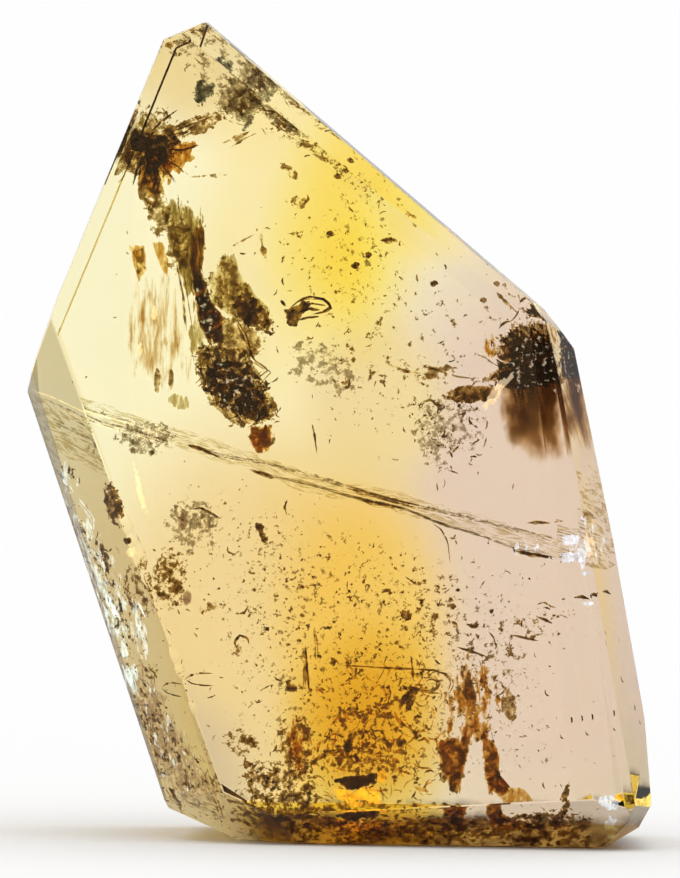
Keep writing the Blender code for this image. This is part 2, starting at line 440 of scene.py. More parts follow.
def scattered(outline, count, rng):
    """Random points (x, z) inside an outline, by throwing some and keeping those whose ray
    crosses the outline an odd number of times."""
    outline = np.asarray(outline, float)
    kept = np.zeros((0, 2))
    while len(kept) < count:
        thrown = rng.uniform(outline.min(axis=0), outline.max(axis=0), (4 * count, 2))
        x, z = thrown[:, :1], thrown[:, 1:]
        ax, az = outline[:, 0], outline[:, 1]
        bx, bz = np.roll(ax, -1), np.roll(az, -1)
        level = np.where(bz == az, 1e-9, bz - az)
        crosses = ((az > z) != (bz > z)) & (x < ax + (bx - ax) * (z - az) / level)
        kept = np.concatenate([kept, thrown[crosses.sum(axis=1) % 2 == 1]])
    return kept[:count]


FLAKE_HALF = (0.012, 0.025)    # half thickness, from and to


def flock(outline, count, depth, length, width, lean, seed, spread=0.5, **shape):
    """Flakes scattered in an outline of the front view, at a depth (from, to) under the front
    surface. They lie along a lean in degrees from upright, give or take spread in radians."""
    rng = np.random.default_rng(seed)
    x, z = scattered(outline, count, rng).T
    middle = np.stack([x, below(x, z, rng.uniform(*depth, count)), z], axis=1)
    turn = math.radians(lean) + rng.normal(0.0, spread, count)
    along = np.stack([np.sin(turn), rng.normal(0.0, 0.3, count), np.cos(turn)], axis=1)
    sideways, upward = rng.normal(0, 0.4, count), rng.normal(0, 0.4, count)
    facing = np.stack([sideways, np.full(count, -1.0), upward], axis=1)
    half = np.stack([rng.uniform(*length, count) / 2, rng.uniform(*width, count) / 2,
                     rng.uniform(*FLAKE_HALF, count)], axis=1)
    return flakes(middle, half, along, facing, rng, **shape)


SHEET_SLOPE, SHEET_WAVE, SHEET_HALF = 0.1, 0.12, 0.015    # spread, height, half thickness


def veils(outline, depths, cover, seed, soft=4.0, rings=6):
    """Closed sheets that fill an outline of the front view in rings r about its middle, one at
    each depth; they slope and wave at random, and thin outwards as 1 - r squared. Their tone is
    cover x (1 - r to the power soft), so it is 0 on the outline."""
    rng = np.random.default_rng(seed)
    corners = np.asarray(outline + outline[:1], float)
    run = np.r_[0.0, np.cumsum(np.linalg.norm(np.diff(corners, axis=0), axis=1))]
    around = int(min(90, 10 + run[-1] * 2.5))    # about a point each 0.4 mm
    walk = np.linspace(0.0, run[-1], around, endpoint=False)
    rim = np.stack([np.interp(walk, run, corners[:, k]) for k in (0, 1)], axis=1)
    turned = np.roll(rim, -1, axis=0)
    if (rim[:, 0] * turned[:, 1] - turned[:, 0] * rim[:, 1]).sum() < 0:
        rim = rim[::-1]
    middle = rim.mean(axis=0)
    r, side = both_sides(rings)
    share = np.r_[np.repeat(r, around), 0.0, 0.0]
    side = np.r_[np.repeat(side, around), 1.0, -1.0]
    place = np.concatenate([(r[:, None, None] * (rim - middle)).reshape(-1, 2), np.zeros((2, 2))])
    x, z = (place + middle).T
    shapes = []
    for depth in np.atleast_1d(depths):
        slope, waves = rng.normal(0.0, SHEET_SLOPE, 2), rng.normal(0.0, 1.5, 2)
        lift = place @ slope + SHEET_WAVE * np.sin(place @ waves)
        y = below(x, z, depth + lift) - SHEET_HALF * side * (1 - share * share)
        points = draw_in(np.stack([x, y, z], axis=1), (middle[0], y[-1], middle[1]))
        shapes.append((points, ball_faces(around, 2 * rings - 1), cover * (1 - share ** soft)))
    return join(shapes)


def oval(x, z, wide, tall, lean=0.0):
    """Outline of an oval round (x, z), of half axes wide and tall, leaning by degrees clockwise."""
    u = np.linspace(0.0, 2 * np.pi, 16, endpoint=False)
    turn = math.radians(lean)
    across, up = wide * np.cos(u), tall * np.sin(u)
    return np.stack([x + across * math.cos(turn) + up * math.sin(turn),
                     z - across * math.sin(turn) + up * math.cos(turn)], axis=1).tolist()


def tube(paths, half, rng, rings=9, around=5, flat=0.5, rough=0.25, tone=(0.75, 1.0)):
    """Closed tapering threads. paths is (thread, point, xyz); each thread is walked in rings, whose
    radius is half x sin(pi t) to the power 0.6, made uneven by rough and flattened from front
    to back by flat; the ends are single points."""
    share = np.linspace(0.0, 1.0, rings + 2)
    at = share * (paths.shape[1] - 1)
    low = np.minimum(at.astype(int), paths.shape[1] - 2)
    part = (at - low)[None, :, None]
    spine = paths[:, low] * (1 - part) + paths[:, low + 1] * part
    heading = unit(np.gradient(spine, axis=1), 1e-9)
    across = unit(np.cross(heading, (0.0, -1.0, 0.0)), 1e-9)
    depth = np.cross(across, heading)
    count = len(spine)
    radius = half[:, None] * np.sin(np.pi * share[1:-1]) ** 0.6
    radius = radius * (1 + rng.normal(0.0, rough, (count, rings)))
    angle = -2 * np.pi * np.arange(around)[:, None] / around
    wall = np.cos(angle) * across[:, 1:-1, None] + flat * np.sin(angle) * depth[:, 1:-1, None]
    body = spine[:, 1:-1, None] + radius[..., None, None] * wall
    points = np.concatenate([body.reshape(count, -1, 3), spine[:, :1], spine[:, -1:]], axis=1)
    faces = ball_faces(around, rings)
    return many(points.reshape(-1, 3), around * rings + 2, faces, rng.uniform(*tone, count))


def threads(lines, depth, width, seed, copies=1, stray=0.0, **shape):
    """Threads along given lines of the front view, with stray copies beside each."""
    rng = np.random.default_rng(seed)
    shapes = []
    for line in lines:
        line = np.asarray(line, float)
        shift = rng.normal(0.0, stray, (copies, 1, 2)) * (np.arange(copies) > 0)[:, None, None]
        flat = line[None] + shift + rng.normal(0.0, stray * 0.3, (copies, len(line), 2))
        y = below(flat[..., 0], flat[..., 1], rng.uniform(*depth, (copies, 1)))
        paths = np.stack([flat[..., 0], y, flat[..., 1]], axis=2)
        shapes.append(tube(paths, rng.uniform(*width, copies) / 2, rng, **shape))
    return join(shapes)


def commas(outline, count, depth, length, width, seed, curl=2.2, **shape):
    """Short threads scattered in an outline that bend along an arc: the heading turns by a random
    angle of up to curl radians from end to end."""
    rng = np.random.default_rng(seed)
    x, z = scattered(outline, count, rng).T
    start, bend = rng.uniform(0, 2 * np.pi, (count, 1)), rng.uniform(-curl, curl, (count, 1))
    turn = start + bend * np.linspace(0, 1, 6)
    stride = rng.uniform(*length, (count, 1)) / 5
    x = x[:, None] + np.cumsum(np.cos(turn) * stride, axis=1)
    z = z[:, None] + np.cumsum(np.sin(turn) * stride, axis=1)
    y = below(x, z, rng.uniform(*depth, (count, 1)))
    return tube(np.stack([x, y, z], axis=2), rng.uniform(*width, count) / 2, rng, 5, 4, **shape)


FILM_LEVEL, FILM_ROUGHNESS = 0.8, 0.68    # of the noise that tears the films


def film(name, thick, thin, scale, upright=1.0, edge=0.07, glow=0.0):
    """A torn film that tints the light crossing it. Where a noise plus half the tone of the piece
    is over FILM_LEVEL there is film: all of it at tone 1, specks at 0.4. It is thin where the
    noise is low, and so at its torn edges, which are as soft as edge; glow is the strength of an
    emission, a painted glint for cracks that mirror the studio."""
    material, graph, shader = glass(name, 1.0)
    tone = graph.node("Attribute", {"attribute_name": "tone"}, {}, 2)
    torn = graph.noise(scale, 3.0, upright, FILM_ROUGHNESS)
    colour = graph.blend(graph.step(torn + tone * 0.14, 0.46, 0.74), thin, thick)
    cover = graph.step(torn + tone * 0.5, FILM_LEVEL - edge / 2, FILM_LEVEL + edge / 2)
    graph.feed(shader, {"Base Color": colour, "Alpha": cover})
    # Painted glint: the film gives off light in its own colour.
    if glow:
        graph.feed(shader, {"Emission Color": colour, "Emission Strength": glow})
    return material


BLACK_FILM = film("black-brown film", (0.035, 0.014, 0.002), (0.42, 0.25, 0.07), 1900)
BROWN_FILM = film("brown film", (0.17, 0.09, 0.012), (0.84, 0.68, 0.36), 1700)
OLIVE_FILM = film("olive film", (0.38, 0.29, 0.08), (0.94, 0.86, 0.6), 1500, upright=0.25)
AMBER_FILM = film("amber film", (0.5, 0.24, 0.02), (0.96, 0.78, 0.34), 1500, upright=0.4)
GREY_FILM = film("grey film", (0.34, 0.3, 0.22), (0.92, 0.88, 0.78), 1800)
# The bright fracture film glows: a painted glint where pale cracks mirror the studio.
PALE_PAINTED_GLINT = film("bright fracture, painted glint", (0.86, 0.78, 0.58), (0.72, 0.6, 0.38), 2300, glow=0.35)


def add_veils(name, rows, seed, material, *more):
    """One piece from rows of (outline, depth or depths, cover) and any shapes added to them."""
    sheets = [veils(*row[:3], seed + k, *row[3:]) for k, row in enumerate(rows)]
    add_piece(name, join(sheets + list(more)), material)


STAR = (-14.7, 50.8)
STAR_VEIL = [
    (-17.1, 50.4), (-16.4, 52.8), (-15.4, 52), (-14.6, 52.4), (-13.7, 51.9), (-11.7, 52.8), (-11.6, 51.7),
    (-12.4, 50.8), (-12.6, 49.8), (-13.4, 48.7), (-13.9, 47.4), (-14.8, 47.5), (-15.2, 49), (-16.3, 48.8),
]
STAR_HEART = [
    (-16.6, 50.7), (-16, 52.4), (-15.4, 51.5), (-14.4, 52), (-13.4, 51.7), (-12, 52.2), (-12.3, 51.3),
    (-13, 50.5), (-13.2, 49.5), (-14, 49), (-14.8, 49.3), (-15.8, 49.4),
]
STAR_FEATHERS = [
    (-13.5, 51.1), (-12, 51.6), (-10.8, 51.2), (-11.2, 50.4), (-10.7, 49.8), (-11.7, 49.4), (-12.1, 48.5),
    (-13.1, 48.6), (-13.9, 49.3),
]
STAR_RAYS = [
    [(-14.9, 51.7), (-14.9, 52.9), (-15, 53.7)], [(-14.5, 51.7), (-13.5, 52.7), (-12.5, 53.4)],
    [(-13.7, 51.5), (-11.7, 52.2), (-9.7, 53)], [(-13.3, 51.3), (-11.9, 51.7), (-10.6, 52.6)],
    [(-14.7, 51.1), (-15.4, 51.9), (-16.1, 52.7)], [(-15.3, 50.5), (-16.1, 49.9), (-17, 49.3)],
    [(-14.3, 49.7), (-14, 48.4), (-14.2, 47.1)], [(-13.3, 50.5), (-12.1, 50.5), (-11, 50.9)],
    [(-13.3, 49.8), (-12.3, 49.3), (-11.6, 48.6)], [(-13.9, 49.6), (-13.2, 48.9), (-12.5, 48)],
    [(-15.7, 50.8), (-16.5, 50.7), (-17.1, 50.3)], [(-15, 49.9), (-15.4, 48.8), (-15.7, 47.8)],
]

add_veils("star_dark", [
    (STAR_VEIL, 9, 0.6), (STAR_HEART, 8.5, 0.68), (oval(-13.9, 50, 1.1, 1), 8.2, 0.9),
    (oval(-15.7, 51.5, 0.6, 1.3, -20), 7, 0.9),
], 10, BLACK_FILM, threads(STAR_RAYS, (8, 9.5), (0.08, 0.24), 16, 2, 0.12, tone=(0.6, 0.85)))
add_veils("star_brown", [
    (STAR_VEIL, 10, 1, 6), (oval(*STAR, 3.2, 3.4), 9.6, 0.8), (oval(-14.5, 48.1, 1, 2.6), 9, 1),
    (oval(-11, 52.3, 0.9, 2.6, 66), 9, 0.78), (oval(-16.4, 49.9, 0.7, 1.7, 20), 5, 1),
], 20, BROWN_FILM, flock(oval(*STAR, 3.4, 3), 46, (7, 12), (0.3, 1), (0.06, 0.2), 60, 25, 0.9))
add_veils("star_feathers", [
    (STAR_FEATHERS, (9, 10), 0.84), (oval(-14.2, 48.6, 1.6, 2.2), 9, 0.9),
], 26, AMBER_FILM)

# -------- curtains and broken mass
# The same films hang in curtains, tongues and tan wisps below the star, and a broken mass leads
# down to the right, with a leaf-shaped loop beside it.
CURTAIN = [
    (-14.6, 47.5), (-13, 47.4), (-11.8, 47.3), (-10.3, 45.8), (-10.3, 44), (-10.4, 42.2), (-10.3, 40.2),
    (-9.8, 39.1), (-11, 39), (-11.8, 39.4), (-12.4, 41.6), (-13.2, 43.8), (-13.8, 45.7),
]
CURTAIN_EDGE = [
    (-11.6, 44.9), (-10.3, 45.2), (-10.2, 42.7), (-10.6, 41.2), (-10.1, 39.4), (-11, 39.8), (-11.5, 42.2),
]
TONGUES = [
    [(-16, 43.6), (-14.7, 43.6), (-14.4, 41.4), (-15.1, 40.5), (-15.5, 41.7)],
    [(-14.3, 43.9), (-13.4, 43.8), (-12.9, 42.5), (-12.9, 40.9), (-13.6, 41.7)],
]
HANGING = [
    (-16.3, 41.1), (-12.9, 42.2), (-11.8, 39.4), (-10.7, 35.5), (-10.9, 32.9), (-12.7, 32.1), (-14.6, 33.1),
    (-16.2, 35.6),
]
MASS_UPPER = [
    (-9.5, 43.1), (-8.1, 43.2), (-7.8, 41.9), (-6.9, 40.7), (-6.3, 39.9), (-5.4, 39.1), (-4.8, 37.6),
    (-5.8, 36.8), (-7.4, 37.5), (-8.8, 38.3), (-10.1, 39.4), (-10.5, 41), (-9.9, 42.1),
]
MASS_NECK = [
    (-11.3, 41.5), (-10.2, 40.9), (-9.6, 39.4), (-8.8, 38.3), (-8.6, 36.3), (-9.8, 35.9), (-10.5, 37),
    (-10.9, 38.3),
]
MASS_LOWER = [
    (-11.1, 36.7), (-9.6, 36.5), (-8.2, 36.3), (-7.1, 36.5), (-6.5, 35.1), (-5.7, 34), (-4.9, 32.8),
    (-4.5, 31.6), (-4.8, 30.3), (-6.4, 30), (-7.7, 29.9), (-8.9, 30.8), (-9.7, 31.4), (-10.2, 32.4),
    (-10.9, 33.8),
]
MASS_TAIL = [(-7, 30.6), (-4.9, 30.6), (-4.7, 29.1), (-5.2, 28), (-6.1, 28), (-7.1, 29.2)]
MASS_VEINS = [
    [(-7.3, 36.4), (-6.5, 35), (-5.4, 34.5), (-6.3, 33.8)], [(-7.9, 38.1), (-7.2, 36.9), (-6.7, 35.6)],
    [(-11, 39.7), (-10.4, 38.1), (-9.8, 36.3)], [(-10.3, 39.7), (-9.7, 38.1), (-8.8, 36.8)],
    [(-12.4, 42.2), (-11.9, 39.7), (-11.6, 37.2)],
]
LEAF = [
    (-4.6, 38.9), (-4, 39.2), (-3.3, 39.4), (-2.9, 39.9), (-2.4, 39.3), (-3.1, 38.4), (-3.5, 37.5),
    (-4.2, 37.7), (-4.4, 38.3),
]
LEAF_VEINS = [
    [(-4.7, 39.6), (-4.3, 39.2)],
    [(-4, 39), (-3.2, 39.7), (-2.4, 39.9), (-1.5, 39.7), (-0.9, 39.2), (-1.4, 38.8), (-2.3, 38.6)],
    [(-3.3, 39.3), (-2.4, 39.4), (-1.4, 39.3)], [(-3.4, 38.7), (-2.6, 39), (-1.8, 38.9)],
    [(-3.4, 38.2), (-2.7, 38.4), (-1.8, 38.5)],
]

add_veils("curtain", [
    (CURTAIN, (9.5, 11.5), 1, 3), (MASS_UPPER, 11, 1.05, 6), (CURTAIN_EDGE, 10.4, 1),
    (oval(-11.9, 32, 1.1, 0.7, 20), 9, 0.85), (oval(-10.3, 36.4, 1.2, 4, -8), 10.6, 0.72),
], 30, OLIVE_FILM)
add_veils("curtain_amber", [
    (CURTAIN_EDGE, 9.6, 1.1), (TONGUES[0], 9.5, 1.3), (TONGUES[1], 9.6, 1.3),
    (MASS_TAIL, (9.8, 10.4), 0.86), (MASS_NECK, 10, 1.1),
], 40, AMBER_FILM)
add_veils("curtain_brown", [
    (oval(-13.8, 46.2, 1.1, 2.8, -8), 9.4, 0.82), (oval(-12.3, 43.4, 1.2, 2.6), 9.2, 0.8),
    (CURTAIN_EDGE, 9.2, 0.84), (MASS_NECK, 9.6, 1.3), (MASS_UPPER, 9.6, 0.82), (MASS_LOWER, 10, 1.2, 6),
    (oval(-8, 36.8, 2.8, 1.6, 20), 9.8, 1), (MASS_TAIL, 9.6, 0.75), (TONGUES[0], 9.4, 0.7),
    (oval(-13.6, 33.5, 0.3, 1.2), 9.4, 1), (oval(-12.6, 33.6, 0.25, 1), 9.4, 1),
], 50, BROWN_FILM, threads(MASS_VEINS, (9, 11), (0.06, 0.22), 61, 3, 0.2),
    flock(CURTAIN, 46, (9, 12), (0.4, 1.4), (0.05, 0.18), 174, 62, 0.2, tone=(0.6, 0.9)))
add_veils("mass_dark", [
    (MASS_LOWER, 9.2, 0.76), (oval(-8.3, 33.8, 2.6, 2.4), 8.8, 0.74),
    (oval(-6.4, 31.8, 1.7, 1.4, 30), 8.6, 1), (oval(-6.7, 38.6, 1.2, 2.6, -50), 9, 0.84),
    (oval(-10.5, 40.2, 0.7, 2, -10), 9, 0.86), (MASS_NECK, 8.8, 0.74), (LEAF, 8.2, 1.3),
], 70, BLACK_FILM, threads(LEAF_VEINS, (8, 9), (0.1, 0.26), 78, 2, 0.06),
    commas(MASS_LOWER, 60, (8.4, 11), (0.3, 1), (0.06, 0.2), 79))
# Pale chips in the mass glow: painted glints.
add_veils("mass_chips_painted_glint", [
    (MASS_LOWER, 8.2, 0.38), (MASS_NECK, 8.2, 0.44), (oval(-13.9, 38.5, 0.3, 0.7), 8, 0.9),
    (oval(-14.9, 35.8, 0.25, 0.6), 8, 0.85),
], 80, PALE_PAINTED_GLINT)

add_veils("hanging_wisps", [
    (HANGING, (9, 11), 0.58), (oval(-14.6, 36.8, 1.6, 4.6), 8.6, 0.56),
], 85, film("tan wisps", (0.66, 0.48, 0.24), (0.98, 0.92, 0.78), 2400, upright=0.1, edge=0.26))

# -------- knot at the right shoulder
# A tight dark clump with a soft brown lobe, a pale branch that crosses it, and brown smoke that
# fades downwards along the bevel. The pale branch and the knot's pale flecks glow: painted
# glints. Thin iron-oxide films too, closer together.
KNOT = [
    (12.2, 39), (12.8, 39.2), (13.8, 38.8), (14.8, 38.7), (15.5, 37.7), (15.8, 36.5), (15.8, 35.2),
    (15.8, 33.4), (14.4, 33.1), (12.1, 33), (10, 33.3), (9.4, 33.8), (10.7, 34.5), (11.2, 35.3),
    (10.7, 35.9), (10.6, 36.4), (10.8, 37.3), (11.8, 38),
]
KNOT_HEART = [
    (11, 36.9), (12, 38.1), (14.6, 38.4), (15.5, 36.6), (15.5, 33.7), (13.2, 33.2), (10.6, 33.6),
    (11.6, 34.9),
]
KNOT_BRANCH = [
    (12.7, 35), (12.8, 34.6), (11.7, 33.4), (11, 31.9), (10.3, 31.4), (9.9, 31.8), (10.7, 33.1),
    (11.5, 34.2),
]
KNOT_SMOKE = [
    [(11.2, 34.9), (15, 35.4), (15.4, 27.7), (14, 27.8), (12.2, 29.1), (11.4, 31.4)],
    [(14.3, 35), (16.4, 35.3), (17.1, 30.3), (16.7, 27.4), (15.2, 28.6)],
]
KNOT_LINES = [
    [(5.3, 35.8), (5.8, 35), (6.9, 34.7), (8, 34.3), (9.8, 34.1)], [(3.2, 35.1), (4.5, 34.6), (6.6, 34.3)],
    [(5.6, 31.8), (5.7, 32.3), (6.4, 32.5), (7, 32.2), (7.1, 31.8)],
    [(11.1, 40.5), (11.9, 39.7), (12.8, 38.9)], [(12.6, 33.3), (13.2, 32.9), (13.6, 32.1)],
    [(9.8, 35.9), (10.4, 35.7), (11, 35.2)],
]

add_veils("knot_dark", [
    (KNOT, 9, 0.84, 3), (KNOT_HEART, 8.4, 0.8, 3), (oval(13.1, 34.2, 2.8, 1), 7.8, 0.8),
], 100, BLACK_FILM, commas(KNOT, 60, (7.5, 10), (0.3, 1.4), (0.06, 0.24), 104))
add_veils("knot_brown", [
    (KNOT, 9.8, 1.15, 3), (oval(9.5, 33, 0.8, 2.6, 84), (9, 9.4), 1),
    (oval(6.4, 34.5, 0.7, 3, 84), 8.5, 0.66), (oval(11, 38.7, 1.4, 0.5, 40), 8.6, 0.5),
], 110, BROWN_FILM, threads(KNOT_LINES, (8, 9), (0.12, 0.3), 114, rough=0.5))
add_veils("knot_amber", [(oval(10.8, 36.6, 0.7, 1.3), (8.4, 8.6), 0.74)], 116, AMBER_FILM)
add_veils("knot_smoke", [
    (KNOT_SMOKE[0], (8.4, 9.4), 1.3, 2), (KNOT_SMOKE[1], 8.4, 1.2, 2),
], 118, film("brown smoke", (0.22, 0.11, 0.03), (0.82, 0.62, 0.36), 400, upright=0.4, edge=0.5))
# Painted glints: the pale branch and flecks of the knot glow.
add_veils("knot_painted_glints", [
    (KNOT_BRANCH, 7.3, 0.85), (KNOT, 7.6, 0.38), (oval(15, 33.1, 0.7, 0.5), 7.4, 0.6),
], 122, PALE_PAINTED_GLINT)

# -------- veil under the tip
# A grey film of the finest bubbles with a dark rim, a blue-grey spot beside it, and streaks that
# trail off to the right along the edge.
VEIL = [
    (-10.4, 54), (-9.1, 55.9), (-7.1, 56.4), (-5.4, 56.2), (-4.2, 55.2), (-4.9, 54.6), (-6.3, 54.4),
    (-6, 53.5), (-7.3, 52), (-8.5, 52.5), (-10, 53.2),
]
EDGE_MOTTLE = [
    (-8.1, 54), (-3.6, 55), (1.4, 50.8), (4, 46.8), (2.5, 45.5), (-1.3, 49.4), (-3.5, 50.7), (-6.4, 51.7),
]
TIP_MOTTLE = [(-13.5, 58.5), (-10.7, 60.4), (-8.7, 58.5), (-10, 56.8), (-12.6, 57.1), (-14.2, 57)]
VEIL_LINES = [
    [(-10.1, 54.3), (-9, 55.7), (-7, 56.1), (-5.5, 55.9), (-4.5, 55.2)],
    [(-6.7, 54.7), (-5.8, 55), (-4.8, 54.8)], [(-9.4, 53), (-8.3, 52.5), (-7.3, 52.3)],
    [(-6.4, 53.5), (-5.5, 53.4), (-4.5, 52.8), (-3.2, 51.7)], [(-4.5, 53.7), (-3.1, 53.3), (-2, 52.9)],
    [(-5.9, 52.7), (-5, 52.2), (-3.8, 51.6)], [(-9.2, 51), (-8, 51.5), (-7, 52)],
    [(-8.7, 50.6), (-7.7, 51.3), (-6.7, 51.8)], [(-2.6, 50.4), (-1.9, 50.1), (-0.9, 49.6)],
    [(-12.6, 58.3), (-12.2, 58.9), (-11.6, 58.8), (-11.8, 58.3), (-12.4, 58.2)],
    [(-11.4, 58.8), (-11.1, 59.4), (-10.3, 59.4), (-10.5, 58.9), (-11.2, 58.7)],
    [(-13.4, 58), (-12.5, 57.9), (-11.6, 58.3)], [(-11.3, 57.2), (-11, 56.9), (-10.6, 56.7)],
    [(-3.9, 46.7), (-3.3, 46.5), (-2.8, 47), (-2.9, 47.4)], [(-6.2, 44.5), (-6.1, 43.5), (-5.7, 42.3)],
    [(-8.3, 43.5), (-7.6, 43.9), (-6.7, 44.4)], [(-4.3, 44.5), (-3.7, 44.5), (-3.1, 44.7)],
    [(-11.5, 48.5), (-10.2, 48.6), (-8.6, 48.7)], [(2.5, 44.1), (3.3, 44.3), (3.9, 44)],
    [(-18.5, 46.2), (-17, 45.9), (-15.5, 45.4)], [(4.8, 45.5), (5.1, 45.2), (5.3, 45.6)],
]

add_veils("tip_veil", [
    (VEIL, (8.5, 10.5), 1), (EDGE_MOTTLE, 9, 0.56), (TIP_MOTTLE, 6, 0.58), (oval(-9.6, 56.5, 3, 3), 9, 0.5),
    (oval(-4.8, 52.9, 0.9, 3.4, -60), (8, 9), 0.68),
], 130, GREY_FILM)
add_veils("tip_spot", [
    (oval(-10.6, 54.8, 1, 1.2, 30), (8, 8.6), 0.78), (oval(-7.5, 52.6, 0.9, 0.8), 8.4, 0.66),
], 140, film("blue-grey film", (0.14, 0.15, 0.14), (0.66, 0.68, 0.6), 1500))
add_veils("tip_dark", [
    (VEIL, 8.4, 0.5), (EDGE_MOTTLE, 9, 0.48), (oval(-5, 55.1, 0.5, 0.25), 4, 0.95),
    (oval(-4.2, 49, 0.5, 1.1, -50), 9, 0.7), (oval(-13.2, 58.2, 0.5, 0.3), 3, 0.9), (TIP_MOTTLE, 4, 0.46),
    (oval(-3.5, 46.8, 0.9, 0.6), 8, 0.7),
], 144, BROWN_FILM, threads(VEIL_LINES, (7.5, 10), (0.1, 0.3), 152, rough=0.5, tone=(0.62, 0.85)),
    commas(EDGE_MOTTLE, 50, (7, 12), (0.2, 0.9), (0.06, 0.16), 153))

# -------- healed fracture
# A crack that ran through the whole crystal and healed: a wavy sheet of bubbles seen almost edge
# on, with dark strands where it meets the front and back. Bright slivers of it in the right bevels
# and glare along it on the left glow: painted glints.
CRACK_LINE = [
    (-23.2, 33), (-17.6, 30.9), (-12, 29.2), (-6.8, 27.7), (-3.1, 26.3), (4.4, 24.8), (10.4, 23.2),
    (16, 21.7), (19.4, 20.7),
]
CRACK_STRANDS = [
    [
        (-11.4, 29), (-9, 28.1), (-5.4, 27.6), (-1.7, 26.6), (1.4, 25.7), (4.7, 24.8), (7.4, 24.3),
        (10.9, 23.5), (14.4, 22.7), (15.8, 22.3),
    ],
    [
        (-6.7, 27.2), (-5.1, 26.7), (-1.7, 26), (0.7, 25.3), (4.4, 24.6), (7.4, 23.4), (10.4, 22.6),
        (12.6, 21.8), (15.8, 21.3),
    ],
]
CRACK_LEFT = [
    [(-22.8, 32.9), (-21, 32.3), (-18.8, 31.4), (-16.6, 30.8), (-14.8, 30.4), (-12.9, 29.6)],
    [(-21.2, 31.9), (-18, 30.6), (-14.9, 29.8), (-12.2, 29)],
]
CRACK_DARK = [
    [(0.3, 25.8), (2.2, 25.4), (4.4, 24.9), (5.9, 24.6)], [(0.7, 25.4), (2.6, 25), (4.7, 24.6)],
    [(-11.3, 28.9), (-10.2, 28.6), (-8.9, 28)], [(-6.6, 27.1), (-5.7, 26.9), (-4.8, 26.5)],
    [(13.6, 23.7), (14.4, 23.8), (15.3, 23.7)], [(12.6, 21.7), (14.1, 21.4), (15.8, 21.2)],
]
CRACK_SLIVERS = [
    [(16, 23), (17.6, 23.1), (17.6, 22.3), (16, 22.2)],
    [(15.8, 21.7), (17.8, 21.8), (17.8, 21), (15.9, 20.9)],
]
CRACK_PAINTED_GLARE = [(17.8, 23.5), (18.5, 23.2), (18.5, 21.3), (17.9, 21.1)]
CRACK_TONE = 0.56


def crack_sheet(along=90, across=26):
    """Closed sheet over s, along the crack line, and t, from front to back: z follows the line,
    rises by 0.04 for each mm of depth, and waves by three sines of s and t; its two sides are
    0.02 mm apart."""
    line = np.asarray(CRACK_LINE)
    run = np.linspace(line[0, 0] + 0.6, line[-1, 0] - 0.2, along)
    s, t = np.meshgrid(run, np.linspace(0.02, 0.98, across))
    z = np.interp(s, line[:, 0], line[:, 1])
    front, back = skin(s, z)
    y = front + 0.3 + (back - front - 0.6) * t
    z = z + 0.04 * (y + 2.0) + 0.08 * np.sin(0.9 * s + 5 * t) + 0.06 * np.sin(2.3 * s - 9 * t)
    z = z + 0.04 * np.sin(4.1 * s + 15 * t)
    top = np.stack([s, y, z + 0.01], axis=-1)
    grid = np.stack([top, top - (0.0, 0.0, 0.02)])
    number = np.arange(grid.size // 3).reshape(2, across, along)
    upper, lower = number[0], number[1, :, ::-1]
    sheets = [np.stack([n[:-1, :-1], n[:-1, 1:], n[1:, 1:], n[1:, :-1]], axis=-1).reshape(-1, 4)
              for n in (upper, lower)]
    rim = np.concatenate([upper[0], upper[1:, -1], upper[-1, -2::-1], upper[-2:0:-1, 0]])
    under = rim + across * along
    walls = np.stack([rim, under, np.roll(under, -1), np.roll(rim, -1)], axis=1)
    faces = np.concatenate(sheets + [walls]).tolist()
    return grid.reshape(-1, 3), faces, np.full(grid.size // 3, CRACK_TONE)


# The bluish fracture film glows: a painted glint where cracks mirror the studio.
BLUE_PAINTED_GLINT = film("bluish fracture, painted glint", (0.7, 0.79, 0.84), (0.42, 0.47, 0.48), 1900, upright=0.4, glow=0.42)

add_piece("crack_sheet", crack_sheet(), film("healed crack", (0.62, 0.54, 0.34), (0.96, 0.91, 0.76), 900))
add_piece("crack_strands", join([
    threads(CRACK_STRANDS, (6, 14), (0.05, 0.16), 161, 6, 0.1, rings=24, tone=(0.5, 0.8)),
    threads(CRACK_LEFT, (2, 9), (0.06, 0.16), 162, 3, 0.1, rings=16, tone=(0.5, 0.75)),
]), GREY_FILM)
dark_strands = threads(CRACK_DARK, (5, 8), (0.1, 0.3), 163, 3, 0.08, rough=0.5)
add_piece("crack_dark_strands", dark_strands, BROWN_FILM)
# Painted glints: bluish slivers of the crack in the right bevels.
add_veils("crack_slivers_painted_glint", [
    (CRACK_SLIVERS[0], 0.4, 1), (CRACK_SLIVERS[1], 0.4, 1), (oval(17.9, 20.2, 0.4, 0.2), 0.4, 1),
    (oval(18.1, 18, 0.5, 0.2), 0.4, 1), (oval(18.1, 22.3, 1.6, 2.6), 0.5, 0.52),
    (oval(14.1, 21.9, 2.8, 1, 14), 0.6, 0.45),
], 165, BLUE_PAINTED_GLINT)
# Painted glare: pale glints on the crack, at the right and along the left.
add_veils("crack_painted_glare", [
    (CRACK_PAINTED_GLARE, 0.4, 1), (oval(-14.1, 29.7, 2.4, 1.3), 2, 0.5),
], 172, PALE_PAINTED_GLINT, threads(CRACK_LEFT, (0.3, 0.5), (0.05, 0.12), 174, 2, 0.06, rings=16, tone=(0.6, 0.8)))

